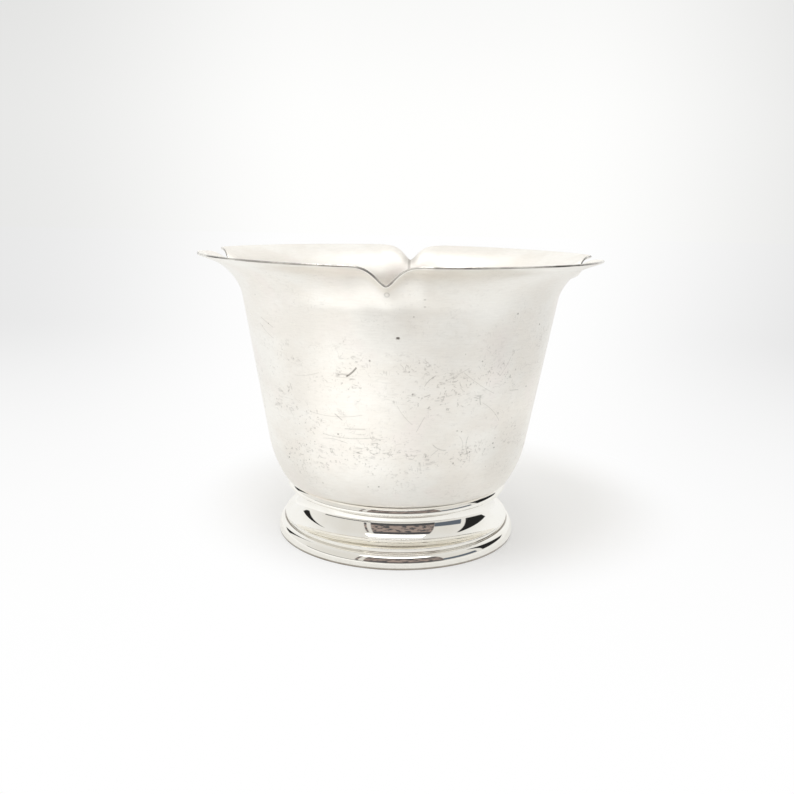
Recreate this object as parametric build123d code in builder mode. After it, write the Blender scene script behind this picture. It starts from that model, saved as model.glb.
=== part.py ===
from build123d import *
import os
from math import cos, hypot, radians, sin, tan

# Footed bar bowl in silver plate, in millimetres.
# Frame: +Z up, origin on the axis at the level of the surface that the foot stands on.
# The notches in the lip point along +X, +Y, -X and -Y.

# ---- Driving dimensions ----

# Overall
rim_radius = 64.0
rim_height = 92.0
foot_height = 17.0  # up to the flange that the bowl sits on
neck_radius = 31.2

# Bowl, spun from sheet. Corners are where straight runs of its outer face would meet.
bowl_sheet = 0.8
bottom_margin = 0.7  # flat bottom beyond the neck
bottom_bend = 3.0  # radius between the flat bottom and the underside that rises from it
underside_width = 5.9  # from the flat bottom out to the heel
underside_rise = 1.6
heel_bend = 2.0  # radius where the underside turns up into the belly
belly_width = 3.75  # from the heel out to the wall's foot
belly_rise = 7.5
belly_bend = 30.0  # radius between the belly and the wall
lip_reach = 12.15  # from the top of the wall out to the rim
lip_slope = 20.0  # degrees above level
lip_bend = 14.0  # radius between the wall and the lip

# Notches in the lip
notch_count = 4
notch_depth = 10.2  # in from the rim to the bottom of the V
notch_half_width = 12.2  # at the rim
notch_root_round = 1.0
lobe_corner_round = 1.5

# Foot, spun from sheet
foot_sheet = 0.9
flange_width = 6.7
flange_bend_inside = 0.4
cove_drop = 3.4  # from the flange down to the top of the cove
cove_width = 4.8
shelf_height = 5.0  # the shelf is the narrow flat below the cove
shelf_bend_inside = 0.1

# Half-round wires
rim_wire_radius = 2.6
rim_wire_centre_height = 1.5
collar_wire_radius = 1.7
collar_web = 2.65  # from the neck to the centre of the half round
collar_drop = 0.8  # from the flange down to the centre of the half round

# Solder
solder_film = 0.05  # left between a wire and the sheet that it is soldered to
seam_leg = 1.0  # along the bowl's bottom

# ---- Worked out from these ----

bottom_flat_radius = neck_radius + bottom_margin
heel_radius = bottom_flat_radius + underside_width
heel_height = foot_height + underside_rise
wall_foot_radius = heel_radius + belly_width
wall_foot_height = heel_height + belly_rise
wall_top_radius = rim_radius - lip_reach
lip_rise = tan(radians(lip_slope))
lip_edge_height = rim_height - bowl_sheet / cos(radians(lip_slope))
wall_top_height = lip_edge_height - lip_rise * lip_reach

# The lip is spun past the rim and trimmed to it.
lip_overrun = 2.0
trim_height = 2 * rim_height

# Each notch is cut by an upright V that reaches out past the rim.
notch_root_radius = rim_radius - notch_depth
notch_reach = notch_depth + lip_overrun
notch_spread = notch_half_width / notch_depth

flange_inner_radius = neck_radius - flange_width
flange_bend = flange_bend_inside + foot_sheet
shelf_bend = shelf_bend_inside + foot_sheet
cove_outer_radius = neck_radius + cove_width
cove_top_height = foot_height - cove_drop
skirt_radius = cove_outer_radius + shelf_bend
collar_centre_radius = neck_radius + solder_film + collar_web
collar_centre_height = foot_height - collar_drop


def bowl_outside():
    """Outer face of the bowl, from the middle of its flat bottom to past the rim."""
    return FilletPolyline(
        (0, foot_height),
        (bottom_flat_radius, foot_height),
        (heel_radius, heel_height),
        (wall_foot_radius, wall_foot_height),
        (wall_top_radius, wall_top_height),
        (rim_radius + lip_overrun, lip_edge_height + lip_rise * lip_overrun),
        radius=[bottom_bend, heel_bend, belly_bend, lip_bend],
    )


# ---- Bowl ----

with BuildPart() as bowl:
    with BuildSketch(Plane.XZ):
        with BuildLine():
            outside = bowl_outside()
            offset(outside, amount=bowl_sheet, side=Side.LEFT)
        make_face()
    revolve(axis=Axis.Z)
    with BuildSketch():
        Circle(rim_radius)
    extrude(amount=trim_height, mode=Mode.INTERSECT)
    with BuildSketch() as notches:
        with PolarLocations(0, notch_count):
            Polygon(
                (notch_root_radius, 0),
                (notch_root_radius + notch_reach, -notch_spread * notch_reach),
                (notch_root_radius + notch_reach, notch_spread * notch_reach),
                align=None,
            )
        fillet(
            notches.vertices().filter_by(lambda v: hypot(v.X, v.Y) < notch_root_radius + notch_root_round),
            radius=notch_root_round,
        )
    extrude(amount=trim_height, mode=Mode.SUBTRACT)
    fillet(
        bowl.edges()
        .filter_by(Axis.Z)
        .filter_by(lambda e: hypot(e.center().X, e.center().Y) > rim_radius - lip_overrun),
        radius=lobe_corner_round,
    )
bowl.part.label = "bowl"

# ---- Foot ----


def foot_face_line(inset):
    """Line of the foot's outer face, or of its inner face when it is inset by the sheet's thickness."""
    flange_and_neck = FilletPolyline(
        (flange_inner_radius, foot_height - inset),
        (neck_radius - inset, foot_height - inset),
        (neck_radius - inset, cove_top_height),
        radius=flange_bend - inset,
    )
    cove = EllipticalCenterArc(
        (cove_outer_radius, cove_top_height),
        cove_width + inset,
        cove_top_height - shelf_height + inset,
        start_angle=180,
        arc_size=90,
    )
    shelf = JernArc(cove @ 1, cove % 1, radius=shelf_bend - inset, arc_size=-90)
    skirt = Line(shelf @ 1, (skirt_radius - inset, 0))
    return flange_and_neck @ 0, skirt @ 1


with BuildPart() as foot:
    with BuildSketch(Plane.XZ):
        with BuildLine():
            outer_flange_edge, outer_base_edge = foot_face_line(0)
            inner_flange_edge, inner_base_edge = foot_face_line(foot_sheet)
            Line(outer_flange_edge, inner_flange_edge)
            Line(outer_base_edge, inner_base_edge)
        make_face()
    revolve(axis=Axis.Z)
foot.part.label = "foot"

# ---- Half-round wires ----

wire_seat = skirt_radius + solder_film

with BuildPart() as foot_rim_wire:
    with BuildSketch(Plane.XZ):
        with Locations((wire_seat, rim_wire_centre_height)):
            Circle(rim_wire_radius)
        with Locations((wire_seat, 0)):
            Rectangle(
                2 * rim_wire_radius, 4 * rim_wire_radius, align=(Align.MIN, Align.MIN), mode=Mode.INTERSECT
            )
    revolve(axis=Axis.Z)
foot_rim_wire.part.label = "foot_rim_wire"

# The collar lies in the corner between the neck and the underside of the bowl, which trims its top.
with BuildPart() as neck_collar:
    with BuildSketch(Plane.XZ):
        with Locations((collar_centre_radius, collar_centre_height)):
            Circle(collar_wire_radius)
        with Locations((collar_centre_radius, collar_centre_height)):
            Rectangle(collar_web, 2 * collar_wire_radius, align=(Align.MAX, Align.CENTER))
        with BuildLine():
            trimming_face = bowl_outside()
            Polyline(trimming_face @ 1, (0, rim_height), (0, foot_height))
        make_face(mode=Mode.SUBTRACT)
    revolve(axis=Axis.Z)
neck_collar.part.label = "neck_collar"

# ---- Solder under the bowl, along the flange's inner edge ----

with BuildPart() as solder_seam:
    with BuildSketch(Plane.XZ):
        with BuildLine():
            bowl_leg = Line((flange_inner_radius - seam_leg, foot_height), (flange_inner_radius, foot_height))
            flange_leg = Line(bowl_leg @ 1, (flange_inner_radius, foot_height - foot_sheet))
            SagittaArc(flange_leg @ 1, bowl_leg @ 0, seam_leg / 5)
        make_face()
    revolve(axis=Axis.Z)
solder_seam.part.label = "solder_seam"

# ---- Files ----

os.makedirs("parts", exist_ok=True)
for piece in (bowl, neck_collar, foot, foot_rim_wire, solder_seam):
    export_step(piece.part, f"parts/{piece.part.label}.step")
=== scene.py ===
from math import atan2, cos, degrees, exp, hypot, pi, radians, sin, sqrt, tan

import bmesh
import bpy
from mathutils import Matrix, Vector


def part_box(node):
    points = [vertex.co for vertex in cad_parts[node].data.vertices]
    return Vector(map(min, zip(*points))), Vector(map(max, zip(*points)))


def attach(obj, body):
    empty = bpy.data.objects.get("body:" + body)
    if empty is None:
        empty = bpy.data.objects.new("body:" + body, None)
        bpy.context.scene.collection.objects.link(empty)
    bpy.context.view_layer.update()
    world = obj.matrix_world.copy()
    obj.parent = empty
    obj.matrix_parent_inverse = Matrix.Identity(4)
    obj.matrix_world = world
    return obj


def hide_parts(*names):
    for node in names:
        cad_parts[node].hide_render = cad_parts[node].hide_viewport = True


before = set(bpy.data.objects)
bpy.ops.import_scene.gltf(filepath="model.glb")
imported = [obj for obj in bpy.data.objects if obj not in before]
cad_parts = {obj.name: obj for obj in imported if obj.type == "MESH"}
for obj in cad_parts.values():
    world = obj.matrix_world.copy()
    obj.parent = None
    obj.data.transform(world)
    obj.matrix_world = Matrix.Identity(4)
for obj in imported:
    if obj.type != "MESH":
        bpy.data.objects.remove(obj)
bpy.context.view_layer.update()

# A footed bar bowl in silver plate: a satin bowl with a notched, flared lip, on a polished foot.
# Sizes are written in millimetres and degrees. Everything made from them is in metres.

MM = 0.001

RIM_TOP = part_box("bowl")[1][2] / MM
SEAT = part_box("bowl")[0][2] / MM  # top of the foot's flange, which the bowl sits on
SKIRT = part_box("foot")[1][0] / MM
FOOT_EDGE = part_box("foot_rim_wire")[1][0] / MM
SEAM_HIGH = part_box("solder_seam")[1]

RIM = 64.0  # radius
BOWL_SHEET = 0.8
FOOT_SHEET = 0.9


# ---- Camera ----

def aim_camera():
    lens, sensor = 38.33, 36
    height, distance, aside = 106.26, 275.25, -0.38
    down, tilt, bearing = 0.2213, 0.0197, radians(3.88)
    data = bpy.data.cameras.new("camera")
    data.lens = lens
    data.sensor_width = sensor
    data.clip_start, data.clip_end = 0.01, 50
    camera = bpy.data.objects.new("camera", data)
    bpy.context.scene.collection.objects.link(camera)
    turn = Matrix.Rotation(bearing, 4, "Z")
    place = Matrix.Translation(turn @ Vector((aside, -distance, height)) * MM)
    camera.matrix_world = (
        place @ turn @ Matrix.Rotation(pi / 2 - down, 4, "X") @ Matrix.Rotation(tilt, 4, "Z")
    )
    bpy.context.scene.camera = camera


aim_camera()
bpy.context.scene.view_settings.view_transform = "Standard"


# ---- Shader sums ----

class Value:
    """A socket that can be added, multiplied and so on, each sum becoming a Math node."""

    def __init__(self, shader, link):
        self.shader, self.link = shader, link

    def __add__(self, other):
        return self.shader.maths("ADD", self, other)

    def __sub__(self, other):
        return self.shader.maths("SUBTRACT", self, other)

    def __rsub__(self, other):
        return self.shader.maths("SUBTRACT", other, self)

    def __mul__(self, other):
        return self.shader.maths("MULTIPLY", self, other)

    def __truediv__(self, other):
        return self.shader.maths("DIVIDE", self, other)

    def __pow__(self, other):
        return self.shader.maths("POWER", self, other)

    def __abs__(self):
        return self.shader.maths("ABSOLUTE", self)

    __radd__ = __add__
    __rmul__ = __mul__

    def into(self, socket):
        self.shader.tree.links.new(self.link, socket)


class Shader:
    """A node tree that is filled through one method."""

    def __init__(self, owner):
        owner.use_nodes = True
        self.tree = owner.node_tree

    def node(self, kind, settings=None, sockets=(), output=0):
        """Adds a node: its settings first, then its sockets' values or links. Gives one output."""
        made = self.tree.nodes.new(kind)
        for key, value in (settings or {}).items():
            setattr(made, key, value)
        for key, value in sockets.items() if isinstance(sockets, dict) else enumerate(sockets):
            if isinstance(value, Value):
                value.into(made.inputs[key])
            else:
                made.inputs[key].default_value = value
        return Value(self, made.outputs[output])

    def maths(self, operation, *values):
        return self.node("ShaderNodeMath", {"operation": operation}, values)

    def step(self, value, low, high):
        """0 below low, 1 above high, and smooth between them."""
        settings = {"interpolation_type": "SMOOTHSTEP"}
        sockets = {"Value": value, "From Min": low, "From Max": high}
        return self.node("ShaderNodeMapRange", settings, sockets)

    def band(self, value, low, high, soft):
        """1 between low and high, and 0 outside them."""
        above_low = self.step(value, low - soft, low + soft)
        return above_low * (1 - self.step(value, high - soft, high + soft))

    def mix(self, amount, one, other, blend="MIX"):
        """Mixes two colours."""
        settings = {"data_type": "RGBA", "blend_type": blend}
        one, other = [v if isinstance(v, Value) else (*v, 1) for v in (one, other)]
        return self.node("ShaderNodeMix", settings, {0: amount, 6: one, 7: other}, 2)

    def grey(self, value):
        return self.node("ShaderNodeCombineColor", {}, (value, value, value))

    def noise(self, place, scale, detail=2.0, rough=0.5):
        sockets = {"Vector": place, "Scale": scale, "Detail": detail, "Roughness": rough}
        return self.node("ShaderNodeTexNoise", {}, sockets)

    def spread(self, place, size):
        """Stretches a place by a factor along each axis."""
        return self.node("ShaderNodeVectorMath", {"operation": "MULTIPLY"}, (place, size))

    def split(self, place):
        return [self.node("ShaderNodeSeparateXYZ", {}, (place,), i) for i in range(3)]

    def bearing(self, x, y):
        """The angle in degrees from +Y, positive towards +X."""
        return self.maths("ARCTAN2", x, y) * (180 / pi)


def added(values):
    return sum(values[1:], values[0])


# ---- Finishes ----

# Dark brown of the marks on the bowl, also used for the painted shade inside its notches.
TARNISH_AND_SHADE = (0.10, 0.085, 0.07)
# Brown of the painted shade in the foot's creases and of its painted contact shadow.
SHADE_BROWN = (0.16, 0.115, 0.07)


def metal(name, colour, roughness):
    """A new metal. Also gives its shader, the object's own coordinates and the metal's sockets."""
    material = bpy.data.materials.new(name)
    shader = Shader(material)
    sockets = shader.tree.nodes["Principled BSDF"].inputs
    sockets["Base Color"].default_value = (*colour, 1)
    sockets["Metallic"].default_value = 1
    sockets["Roughness"].default_value = roughness
    place = shader.node("ShaderNodeTexCoord", {}, (), "Object")
    return material, shader, place, sockets


# Radii of the bowl at which an angle is turned into millimetres round it.
WALL_RADIUS, PUNCH_RADIUS, NOTCH_RADIUS = 45, 49, 55

# Broad darker patches: angle from the front notch, height, half width round, half height,
# darkening.
DARK_PATCHES = [
    (55, 70, 17, 16, 0.15),
    (56, 34, 15, 10, 0.10),
    (28, 68, 14, 8, 0.07),
    (-62, 70, 14, 18, 0.05),
    (-48, 26, 16, 6, 0.05),
    (22, 24, 14, 6, 0.04),
    (-8, 73, 16, 5, 0.03),
    (38, 50, 10, 6, 0.03),
]

# Hair scratches: scale, stretch along each axis, thinness.
HAIRS = [
    (170, (1, 1, 5), 0.02),
    (330, (2.2, 1.2, 1), 0.022),
    (520, (1, 1, 2.5), 0.035),
]

# Knocks: angle from the front notch, height, half length, lean, half width, bow, strength.
KNOCKS = [
    (3.4, 71.7, 0.3, 0, 0.3, 0, 0.85),
    (-12, 61.3, 1.9, 44, 0.2, 0.05, 0.62),
    (14.2, 59.7, 2, 47, 0.08, -0.08, 0.25),
    (13.8, 55.1, 0.8, 20, 0.1, 0, 0.28),
    (34.3, 52.7, 1.3, -78, 0.1, 0.1, 0.33),
    (31, 38.6, 3.2, -82, 0.07, 0.07, 0.28),
    (29.2, 40.2, 2.2, -70, 0.06, -0.1, 0.19),
    (19.6, 38.7, 2.3, -25, 0.13, 0.1, 0.22),
    (18, 37.6, 1.2, 40, 0.1, 0, 0.19),
    (-29, 25.2, 0.1, 0, 0.19, 0, 0.33),
    (-7.8, 26.3, 0.1, 0, 0.18, 0, 0.33),
    (26.3, 44, 0.1, 0, 0.21, 0, 0.33),
    (-39.9, 39.5, 0.1, 0, 0.19, 0, 0.3),
    (-28.9, 43, 0.1, 0, 0.19, 0, 0.33),
    (11.1, 82.4, 0.1, 0, 0.16, 0, 0.28),
    (11.3, 80.4, 0.1, 0, 0.16, 0, 0.28),
    (-15.6, 41.3, 7.6, 1, 0.07, 0.01, 0.22),
    (-20.4, 40.5, 4, -4, 0.06, -0.03, 0.19),
    (-12, 44.4, 3, 4, 0.1, 0, 0.24),
    (-18.1, 47.6, 1.3, -38, 0.13, 0, 0.28),
    (-19.4, 47.6, 8.2, 3, 0.06, 0.012, 0.17),
    (-47.5, 72.8, 3, -22, 0.08, 0, 0.19),
    (-49, 70, 3.6, -30, 0.06, 0.02, 0.17),
    (-38.6, 54.6, 0.9, -75, 0.1, 0, 0.28),
    (33, 57.6, 6.5, -33, 0.06, 0.01, 0.17),
    (41, 49, 5, -40, 0.06, -0.02, 0.17),
    (24, 61, 3.6, 28, 0.06, 0, 0.17),
    (51.3, 54.2, 2.1, -6, 0.1, 0, 0.22),
    (44, 62, 3, 60, 0.06, 0.03, 0.17),
    (-30, 59, 4.4, 12, 0.06, 0.02, 0.14),
    (6, 49, 3.4, -52, 0.06, 0.03, 0.17),
    (12, 46.5, 2.4, 65, 0.06, 0, 0.19),
]


def dark_patches(shader, angle, height):
    spots = []
    for middle, level, wide, tall, depth in DARK_PATCHES:
        away = ((angle - middle) / wide) ** 2 + ((height - level) / tall) ** 2
        spots.append((1 - shader.step(away, 0, 2.2)) * depth)
    return added(spots)


def hair_scratches(shader, place, busy):
    """Thin lines along the middle level of a stretched noise, broken up and gathered in clumps."""
    hairs = []
    for scale, stretch, thin in HAIRS:
        lines = abs(shader.noise(shader.spread(place, stretch), scale, 1.5, 0.5) - 0.5)
        broken = shader.step(shader.noise(place, scale * 1.7, 1, 0.5), 0.54, 0.66)
        hairs.append((1 - shader.step(lines, thin * 0.5, thin * 2)) * broken)
    clumps = shader.noise(shader.spread(place, (1, 1, 1.8)), 62, 2, 0.6)
    return added(hairs) * busy * (0.05 + 0.27 * shader.step(clumps, 0.44, 0.66))


def small_pits(shader, place, busy):
    """A dark dot in some of the cells, and in more of them where the bowl has had most wear."""
    cells = {"Vector": place, "Scale": 420, "Randomness": 1}
    from_middle = shader.node("ShaderNodeTexVoronoi", {}, cells)
    lot = shader.split(shader.node("ShaderNodeTexVoronoi", {}, cells, "Color"))[0]
    crowd = shader.step(shader.noise(place, 55, 2, 0.6), 0.45, 0.68)
    chosen = shader.step(lot + crowd * busy * 0.24, 0.92, 1.0)
    return (1 - shader.step(from_middle, 0.07, 0.16)) * chosen * 0.5


def knocks(shader, angle, height):
    """The larger marks: bars with soft ends, some of them bowed."""
    marks = []
    round_wall = angle * radians(WALL_RADIUS)
    for middle, level, half, lean, wide, bow, strength in KNOCKS:
        cosine, sine = cos(radians(lean)), sin(radians(lean))
        aside = round_wall - middle * radians(WALL_RADIUS)
        above = height - level
        along = aside * cosine + above * sine
        across = above * cosine - aside * sine
        across = abs(across - along * along * bow if bow else across)
        length = 1 - shader.step(abs(along), half - 0.1, half + 0.35)
        width = 1 - shader.step(across, wide * 0.6, wide + 0.12)
        marks.append(length * width * strength)
    return shader.maths("MINIMUM", added(marks), 0.9)


def satin_silver():
    """Worn satin plate: turned brushing, cloudy tarnish, broad darker patches, pits, hair scratches
    and deeper knocks.
    """
    material, shader, place, sockets = metal("satin_silver", (0.93, 0.905, 0.855), 0.3)
    x, y, z = shader.split(place)
    angle = shader.bearing(x, 0 - y)
    height = z * 1000

    faces = shader.node("ShaderNodeNewGeometry", {}, (), "Normal")
    away = shader.spread(place, (1, 1, 0))
    outwards = shader.node(
        "ShaderNodeVectorMath", {"operation": "DOT_PRODUCT"}, (faces, away), "Value"
    )
    inside = 1 - shader.step(outwards, -0.001, 0.001)
    outside = 1 - inside

    clouds = shader.noise(shader.spread(place, (1, 1, 1.6)), 38, 4, 0.6)
    blush = shader.noise(place, 70, 3, 0.55)
    colour = shader.mix(
        shader.step(clouds, 0.35, 0.65), (0.93, 0.897, 0.845), (0.99, 0.975, 0.938)
    )
    colour = shader.mix(shader.step(blush, 0.52, 0.72) * 0.5, colour, (0.965, 0.91, 0.88))
    grain = shader.noise(shader.spread(place, (0.12, 0.12, 1)), 2600, 2, 0.6)
    fine = shader.noise(place, 1500, 2, 0.6)
    worn = 1 - (grain - 0.5) * 0.10 - (fine - 0.5) * 0.05

    patch_darkening = dark_patches(shader, angle, height) * (0.6 + 0.8 * clouds)
    busy = shader.band(height, 30, 66, 8) * 0.75 + 0.25
    scratched = hair_scratches(shader, place, busy)
    pitted = small_pits(shader, place, busy)
    knocked = knocks(shader, angle, height)

    # Every notch has a punched ring below it, and painted shade on the inside along a fold line and
    # at its tip.
    around = angle - 90 * shader.maths("ROUND", angle / 90)
    beside_punch = around * radians(PUNCH_RADIUS)
    from_punch = (beside_punch ** 2 + (height - 83.6) ** 2) ** 0.5
    punch = shader.band(from_punch, 0.4, 0.75, 0.15) * 0.22
    beside_notch = around * radians(NOTCH_RADIUS)
    fold_shade = 1 - shader.step(abs(beside_notch - 0.3), 0.25, 0.8)
    fold_shade = fold_shade * shader.band(height, 76, 87, 2) * 0.3
    tip_shade = 1 - shader.step((beside_notch ** 2 + (height - 86) ** 2) ** 0.5, 0.5, 4.5)

    marks_and_shade = (scratched + pitted + knocked + punch) * outside + patch_darkening * outside
    marks_and_shade = shader.maths("MINIMUM", marks_and_shade + (fold_shade + tip_shade * 0.22) * inside, 0.88)
    colour = shader.mix(marks_and_shade, colour, TARNISH_AND_SHADE)
    colour = shader.mix(1.0, colour, shader.grey(worn), "MULTIPLY")
    rough = 0.31 + 0.10 * (clouds - 0.5) + 0.25 * inside + (grain - 0.5) * 0.1
    relief = 0 - (scratched * 0.6 + pitted + knocked * 1.4 + punch) * outside
    relief = relief + (grain - 0.5) * 0.12
    bump = {"Strength": 0.35, "Distance": 0.0002, "Height": relief}
    colour.into(sockets["Base Color"])
    rough.into(sockets["Roughness"])
    (1 - 0.22 * inside).into(sockets["Metallic"])
    shader.node("ShaderNodeBump", {}, bump).into(sockets["Normal"])
    return material


def polished_silver():
    """Mirror-polished plate with painted brown shade in its creases and a painted contact shadow
    where it meets the table.
    """
    material, shader, place, sockets = metal("polished_silver", (0.97, 0.955, 0.92), 0.035)
    x, y, z = shader.split(place)
    height = z * 1000
    out = ((x * x + y * y) ** 0.5) * 1000
    uneven = shader.noise(place, 160, 3, 0.6)
    # Painted shade: brown darkening in the crease under the neck moulding and at the shelf's edge,
    # less at the front, and a painted contact shadow along the bottom edge.
    neck_crease_shade = shader.band(height, 13.3, 14.0, 0.1) * shader.band(out, 30.5, 31.8, 0.2)
    shelf_crease_shade = shader.band(height, 4.35, 4.85, 0.08) * shader.band(out, 37.0, 37.9, 0.05)
    contact_shadow = 1 - shader.step(height, 0.4, 0.8)
    front = shader.step(0 - y, 0.012, 0.03)
    painted_shade = neck_crease_shade * 0.62 + shelf_crease_shade * (0.6 - 0.46 * front) + contact_shadow * 0.7
    painted_shade = painted_shade * (0.75 + 0.5 * uneven)
    colour = shader.mix(
        shader.step(uneven, 0.3, 0.75), (0.975, 0.962, 0.925), (0.955, 0.935, 0.885)
    )
    hair = shader.noise(shader.spread(place, (0.1, 0.1, 1)), 3000, 2, 0.6)
    rough = 0.02 + 0.03 * uneven + 0.02 * hair + 0.25 * painted_shade
    shader.mix(painted_shade, colour, SHADE_BROWN).into(sockets["Base Color"])
    rough.into(sockets["Roughness"])
    return material


def lip_edge_painted_reflection():
    """The trimmed edge of the lip, where the plate is thin; its dark colour is a painted
    reflection.
    """
    material, shader, place, sockets = metal("lip_edge_painted_reflection", (0.62, 0.60, 0.57), 0.2)
    blotches = shader.step(shader.noise(place, 120, 3, 0.6), 0.4, 0.62)
    shader.mix(blotches, (0.45, 0.43, 0.41), (0.80, 0.78, 0.74)).into(sockets["Base Color"])
    return material


def soft_solder():
    """Dull solder with a lumpy skin."""
    material, shader, place, sockets = metal("soft_solder", (0.5, 0.49, 0.48), 0.5)
    lumps = shader.noise(place, 900, 3, 0.6)
    bump = {"Strength": 0.6, "Distance": 0.0003, "Height": lumps}
    shader.mix(lumps, (0.42, 0.41, 0.40), (0.62, 0.61, 0.60)).into(sockets["Base Color"])
    shader.node("ShaderNodeBump", {}, bump).into(sockets["Normal"])
    return material


satin = satin_silver()
polish = polished_silver()
edging = lip_edge_painted_reflection()
solder = soft_solder()


# ---- Turned shapes ----

BOWL_STEPS, FOOT_STEPS, SEAM_STEPS = 480, 256, 128


def profile(corners, closed):
    """A chain of edges in the XZ plane.

    Each corner is (radius, height, bend radius), and is rounded by a bevel.
    """
    mesh = bmesh.new()
    points = [mesh.verts.new((r * MM, 0, z * MM)) for r, z, bend in corners]
    count = len(points)
    for i in range(count if closed else count - 1):
        mesh.edges.new((points[i], points[(i + 1) % count]))
    for i, (r, z, bend) in enumerate(corners):
        if bend:
            here = Vector((r, z))
            before = (Vector(corners[i - 1][:2]) - here).normalized()
            after = (Vector(corners[(i + 1) % count][:2]) - here).normalized()
            turning = pi - before.angle(after)
            bmesh.ops.bevel(
                mesh,
                geom=[points[i]],
                offset=bend * MM * tan(turning / 2),
                segments=max(3, round(degrees(turning) / 5)),
                profile=0.5,
                affect="VERTICES",
                material=-1,
            )
    return mesh


def turned(mesh, steps):
    """Spins a profile round the axis and closes what meets on it."""
    bmesh.ops.spin(
        mesh,
        geom=mesh.verts[:] + mesh.edges[:],
        cent=(0, 0, 0),
        axis=(0, 0, 1),
        angle=2 * pi,
        steps=steps,
        use_merge=True,
    )
    bmesh.ops.remove_doubles(mesh, verts=mesh.verts, dist=0.002 * MM)
    bmesh.ops.recalc_face_normals(mesh, faces=mesh.faces)
    return mesh


def arc(centre, across, up, first, last, count):
    """Points along an elliptical arc, by the angle from outwards to upwards."""
    angles = [radians(first + (last - first) * i / count) for i in range(count + 1)]
    return [(centre[0] + across * cos(t), centre[1] + up * sin(t), 0) for t in angles]


def piece(name, mesh, finish, slot, *nodes):
    """Makes an object from a bmesh, smooth all over, which stands for the named CAD nodes."""
    for face in mesh.faces:
        face.smooth = True
    data = bpy.data.meshes.new(name)
    mesh.to_mesh(data)
    mesh.free()
    made = bpy.data.objects.new(name, data)
    bpy.context.scene.collection.objects.link(made)
    data.materials.append(finish)
    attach(made, "root")
    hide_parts(*nodes)
    return made


# ---- Bowl ----

LIP_REACH, LIP_SLOPE, LIP_BEND = 12.15, radians(20), 14
UNDER_EDGE = RIM_TOP - BOWL_SHEET / cos(LIP_SLOPE)
WALL_FOOT = Vector((41.55, SEAT + 9.1))
WALL_TOP = Vector((RIM - LIP_REACH, UNDER_EDGE - LIP_REACH * tan(LIP_SLOPE)))

CROWDING = 0.6  # how far the spun steps are gathered towards the notches
NOTCH_DROP, NOTCH_DRAW = 5.4, 7.7  # down and in, at the bottom of a notch
NOTCH_WIDTH = 4.05  # degrees from the bottom in which the lip rises most of the way
LOBE_CORNER, CORNER_SOFTNESS = 11.3, 0.0036  # degrees from the notch to the end of a lobe
LOBE_DRAW, LOBE_SPREAD = 0.6, 24  # in at the middle of a lobe, and for how many degrees


def shape_lip(mesh):
    """Draws the lip in and down at each notch, and keeps its outward curl all along the edge."""
    wall = (WALL_TOP - WALL_FOOT).normalized()
    turn = pi / 2 - LIP_SLOPE - atan2(wall.x, wall.y)
    start = WALL_TOP - wall * LIP_BEND * tan(turn / 2)
    for vert in mesh.verts:
        x, y, z = vert.co / MM
        r = hypot(x, y)
        angle = atan2(y, x)
        angle -= CROWDING * sin(4 * angle) / 4
        if z > start.y:
            past_notch = degrees(angle) % 90
            from_notch = min(past_notch, 90 - past_notch)
            from_lobe = 45 - from_notch
            fall = exp(-((from_notch / NOTCH_WIDTH) ** 1.85))
            inward = 1 - (from_notch / LOBE_CORNER) ** 1.25
            inward = 0.5 * (inward + sqrt(inward * inward + CORNER_SOFTNESS))
            near_lobe = from_lobe < LOBE_SPREAD
            lobe = LOBE_DRAW * cos(radians(90 * from_lobe / LOBE_SPREAD)) if near_lobe else 0
            reach = (RIM - NOTCH_DRAW * inward - lobe - start.x) / (RIM - start.x)
            rise = (UNDER_EDGE - NOTCH_DROP * fall - start.y) / (UNDER_EDGE - start.y)
            r = start.x + (r - start.x) * reach
            z = start.y + (z - start.y) * rise
        vert.co = Vector((r * cos(angle), r * sin(angle), z)) * MM


def inward_facing(face):
    middle = face.calc_center_median()
    return face.normal.dot(middle - Vector((0, 0, RIM_TOP * MM))) < 0


def make_bowl():
    """The outer face, spun open at the lip, which gets the sheet's thickness inwards."""
    corners = [
        (0, SEAT, 0),
        (12, SEAT, 0),
        (31.9, SEAT, 3),
        (37.4, SEAT + 1.95, 2),
        (*WALL_FOOT, 30),
        (*WALL_FOOT.lerp(WALL_TOP, 0.4), 0),
        (*WALL_TOP, LIP_BEND),
        (RIM, UNDER_EDGE, 0),
    ]
    mesh = turned(profile(corners, closed=False), BOWL_STEPS)
    bmesh.ops.reverse_faces(mesh, faces=[face for face in mesh.faces if inward_facing(face)])
    shape_lip(mesh)
    bowl = piece("bowl_shell", mesh, satin, "bowl_satin", "bowl")
    wall = bowl.modifiers.new("sheet", "SOLIDIFY")
    wall.thickness = BOWL_SHEET * MM
    wall.offset = -1
    wall.use_even_offset = True
    # The sheet's rim faces take the edge finish, whose dark colour is a painted reflection.
    wall.material_offset_rim = 1
    bowl.data.materials.append(edging)
    edge = bowl.modifiers.new("rounded_edge", "BEVEL")
    edge.width = 0.28 * MM
    edge.segments = 3
    edge.limit_method = "ANGLE"
    edge.angle_limit = radians(60)


# ---- Foot, mouldings and solder ----

FLANGE = 24.5  # inner radius
NECK = 31.3
COVE_TOP = 13.8
SHELF, SHELF_EDGE = 5.9, 37.5  # height and radius


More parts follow.
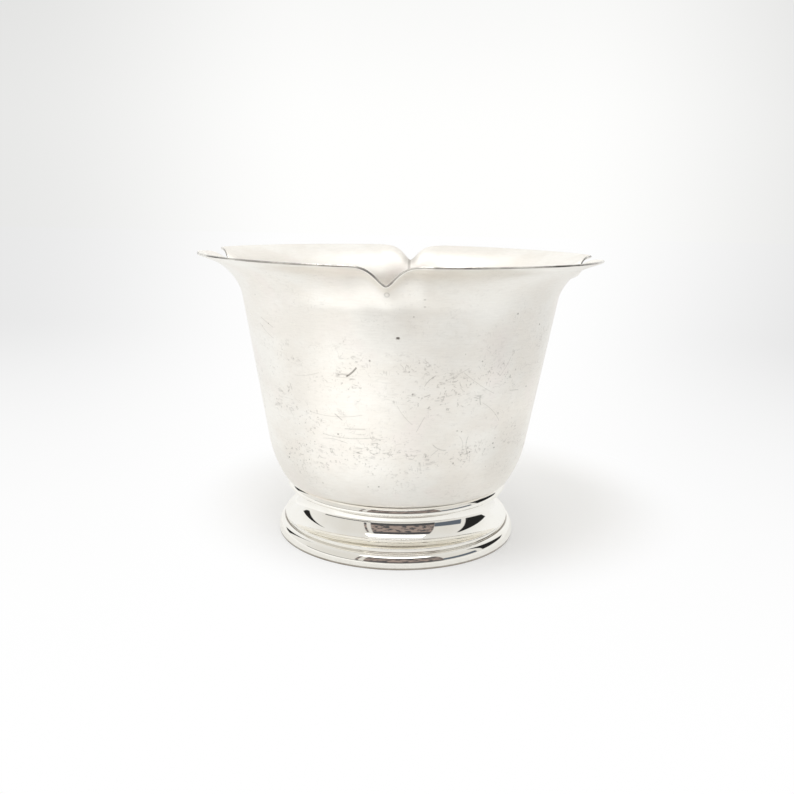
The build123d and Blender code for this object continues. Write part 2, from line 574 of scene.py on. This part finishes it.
def make_foot():
    """One spun sheet: flange, neck, hollow cove, narrow shelf, a step down, and the skirt."""
    skirt = SKIRT - 0.1
    inner_cove = (37.2, 13.0)
    corners = [
        (FLANGE, SEAT, 0),
        (NECK, SEAT, 0.9),
        *arc((SHELF_EDGE, COVE_TOP), SHELF_EDGE - NECK, COVE_TOP - SHELF, 180, 270, 22)[:-1],
        (SHELF_EDGE, SHELF, 0.25),
        (SHELF_EDGE, 4.2, 0),
        (skirt, 3.6, 0),
        (skirt, 0, 0),
        (SKIRT - FOOT_SHEET, 0, 0),
        (SKIRT - FOOT_SHEET, 4.0, 0.2),
        *arc(
            inner_cove,
            inner_cove[0] - NECK + FOOT_SHEET,
            inner_cove[1] - SHELF + FOOT_SHEET,
            255,
            180,
            14,
        ),
        (NECK - FOOT_SHEET, SEAT - FOOT_SHEET, 0.4),
        (FLANGE, SEAT - FOOT_SHEET, 0),
    ]
    mesh = turned(profile(corners, closed=True), FOOT_STEPS)
    piece("foot_ring", mesh, polish, "foot_polish", "foot")


def make_foot_edge():
    """The base moulding: an upright oval with a flat underneath, closed by the skirt's side."""
    across, up = 2.2, 3.4
    corners = [
        (SKIRT + 0.05, 0, 0),
        (SKIRT + 0.05, 4.2, 0),
        *arc((FOOT_EDGE - across, 1.0), across, up, 88, -17, 26),
    ]
    mesh = turned(profile(corners, closed=True), FOOT_STEPS)
    piece("foot_edge_wire", mesh, polish, "foot_polish", "foot_rim_wire")


def make_collar():
    """The neck moulding: rounder above its widest line than below it."""
    middle = (34.0, 16.3)
    out, above, below = 2.6, 2.4, 1.25
    inner = NECK + 0.05
    corners = [
        (inner, 14.9, 0),
        (inner, SEAT - 0.05, 0),
        *arc(middle, out, above, 50, 0, 14),
        *arc(middle, out, below, 0, -85, 14)[1:],
    ]
    mesh = turned(profile(corners, closed=True), FOOT_STEPS)
    piece("neck_moulding", mesh, polish, "foot_polish", "neck_collar")


def make_seam():
    """A bead of solder in the corner between the bowl's bottom and the flange's inner edge."""
    bead = 0.5 * MM
    mesh = bmesh.new()
    bmesh.ops.create_circle(mesh, cap_ends=False, radius=bead, segments=12)
    bmesh.ops.rotate(mesh, verts=mesh.verts, matrix=Matrix.Rotation(pi / 2, 3, "X"))
    middle = (SEAM_HIGH[0] - bead, 0, SEAM_HIGH[2] - bead)
    bmesh.ops.translate(mesh, verts=mesh.verts, vec=middle)
    piece("solder_ring", turned(mesh, SEAM_STEPS), solder, "solder", "solder_seam")


make_bowl()
make_foot()
make_foot_edge()
make_collar()
make_seam()


# ---- Table, tent and lamps ----

# Colours in the tent.
FRONT_CLOTH = (0.74, 0.725, 0.69)
BACK_CLOTH = (0.94, 0.94, 0.925)
ROOF_CLOTH = (0.78, 0.78, 0.765)
DARK_ROOM = (0.07, 0.07, 0.075)
WARM_ROOM = (0.36, 0.29, 0.26)
MURK = (0.09, 0.09, 0.095)
BLUE_STRIP = (0.12, 0.14, 0.17)
DARK_GAP = (0.02, 0.02, 0.02)
LAMP_ROW = (2.4, 2.4, 2.35)  # brighter than white


def falling_off(shader, bearing):
    """How much light the backdrop loses towards its sides, by the angle from straight behind."""
    return shader.step(bearing, 6, 30) * 0.245 + shader.step(0 - bearing, 9, 30) * 0.19


def make_table():
    """A white table, which takes the bowl's shadow close to it and is plain white further out."""
    mesh = bmesh.new()
    bmesh.ops.create_grid(mesh, x_segments=1, y_segments=1, size=3)
    data = bpy.data.meshes.new("table")
    mesh.to_mesh(data)
    mesh.free()
    table = bpy.data.objects.new("table", data)
    bpy.context.scene.collection.objects.link(table)
    material = bpy.data.materials.new("white_table")
    data.materials.append(material)
    shader = Shader(material)
    nodes = shader.tree.nodes
    nodes.remove(nodes["Principled BSDF"])
    place = shader.node("ShaderNodeTexCoord", {}, (), "Object")
    x, y, z = shader.split(place)
    camera = shader.node("ShaderNodeLightPath", {}, (), "Is Camera Ray")
    glossy = shader.node("ShaderNodeLightPath", {}, (), "Is Glossy Ray")

    # Seen in reflections, the table is painted darker towards its near edge.
    near_edge = shader.step(0 - y, 0.12, 0.35)
    glow = shader.mix(near_edge * glossy, (1, 1, 0.985), (0.55, 0.53, 0.5))
    falloff = falling_off(shader, shader.bearing(x, y + 0.275))
    falloff = 1 - falloff * shader.step(y, -0.15, 0.5)
    glow = shader.mix(camera, glow, shader.grey(falloff))
    # A painted pool of light at the front left and painted shade towards the right, both seen only
    # in reflections.
    light_pool = 1 - shader.step((x + 0.065) ** 2 + (y + 0.12) ** 2, 0.0, 0.011)
    brightness = 1 + glossy * (light_pool * 0.35 - shader.step(x, 0.02, 0.16) * 0.08)
    scaled = {0: glow, "Scale": brightness}
    glow = shader.node("ShaderNodeVectorMath", {"operation": "SCALE"}, scaled)

    away = ((x - 0.012) ** 2 + (y - 0.034) ** 2) ** 0.5
    lit = shader.step(away, 0.052, 0.096)
    far = shader.step(away, 0.08, 0.3)
    amount = camera * (0.35 + 0.65 * lit) + glossy * (0.55 + 0.45 * far)
    plain = shader.node("ShaderNodeBsdfDiffuse", {}, {"Color": (0.95, 0.945, 0.93, 1)})
    shine = shader.node("ShaderNodeEmission", {}, {"Color": glow, "Strength": 1})
    both = shader.node("ShaderNodeMixShader", {}, {0: amount, 1: plain, 2: shine})
    both.into(nodes["Material Output"].inputs["Surface"])


def make_tent():
    """A white light tent, open in front, with a row of lamps above the opening."""
    world = bpy.data.worlds.new("tent")
    bpy.context.scene.world = world
    shader = Shader(world)
    background = shader.tree.nodes["Background"].inputs
    place = shader.node("ShaderNodeTexCoord", {}, (), "Generated")
    x, y, z = shader.split(place)
    turn = shader.bearing(x, 0 - y) - 3.9  # from the middle of the opening
    rise = shader.maths("ARCSINE", z) * (180 / pi)

    walls = shader.mix(shader.step(abs(turn), 60, 150), FRONT_CLOTH, BACK_CLOTH)
    walls = shader.mix(shader.step(rise, 30, 75), walls, ROOF_CLOTH)

    opening = shader.band(turn, -29, 46, 0.7) * shader.band(rise, 3.5, 45, 0.5)
    opening = opening + shader.band(turn, -37, -34, 0.6) * shader.band(rise, 6, 40, 1)
    room = shader.mix(shader.band(rise, 11, 36, 2), DARK_ROOM, WARM_ROOM)
    room = shader.mix(shader.step(shader.noise(place, 9, 3, 0.6), 0.45, 0.6), room, MURK)
    seen = shader.mix(opening, walls, room)

    beside = shader.band(turn, 46, 82, 0.6) * shader.band(rise, 5, 18, 0.5)
    seen = shader.mix(beside, seen, BLUE_STRIP)

    right_gap = (
        shader.step(turn, 88, 90)
        * shader.step(136 - rise * 0.97 - turn, -1, 1)
        * shader.step(112 + rise * 1.2 - turn, -1, 1)
        * shader.band(rise, 5, 44, 1)
    )
    leaning = 131 - 0.64 * rise
    left_gap = (
        shader.step(9 - rise * 0.21 - abs(0 - turn - leaning), -0.6, 0.6)
        * shader.step(119 + rise * 1.5 + turn, -1, 1)
        * shader.band(rise, 5, 41, 1)
    )
    ledge = shader.band(turn, -90, -29, 1) * shader.band(rise, 1.5, 3.5, 0.4)
    gaps = shader.maths("MAXIMUM", shader.maths("MAXIMUM", right_gap, left_gap), ledge)
    seen = shader.mix(gaps, seen, DARK_GAP)

    lamps = shader.step(42 + (rise - 43) * 0.1 - abs(turn), -0.6, 0.6)
    lamps = lamps * shader.band(rise, 47.5, 60, 0.4)
    seen = shader.mix(lamps, seen, LAMP_ROW)

    falloff = falling_off(shader, shader.bearing(x, y)) * shader.step(y, 0, 0.4)
    backdrop = shader.step(rise, 4, 16) * 0.06 + falloff
    white = shader.mix(backdrop, (1, 1, 0.99), (0, 0, 0))
    camera = shader.node("ShaderNodeLightPath", {}, (), "Is Camera Ray")
    shader.mix(camera, seen, white).into(background["Color"])
    background["Strength"].default_value = 1


def make_lamp(name, place, size, power):
    data = bpy.data.lights.new(name, "AREA")
    data.shape = "DISK"
    data.size = size
    data.energy = power
    lamp = bpy.data.objects.new(name, data)
    bpy.context.scene.collection.objects.link(lamp)
    lamp.location = place
    lamp.rotation_euler = (-Vector(place)).to_track_quat("-Z", "Y").to_euler()


make_table()
make_tent()
make_lamp("lamp_left", (-0.13, 0.02, 0.42), 0.12, 0.22)
make_lamp("lamp_right", (0.11, 0.0, 0.42), 0.10, 0.14)
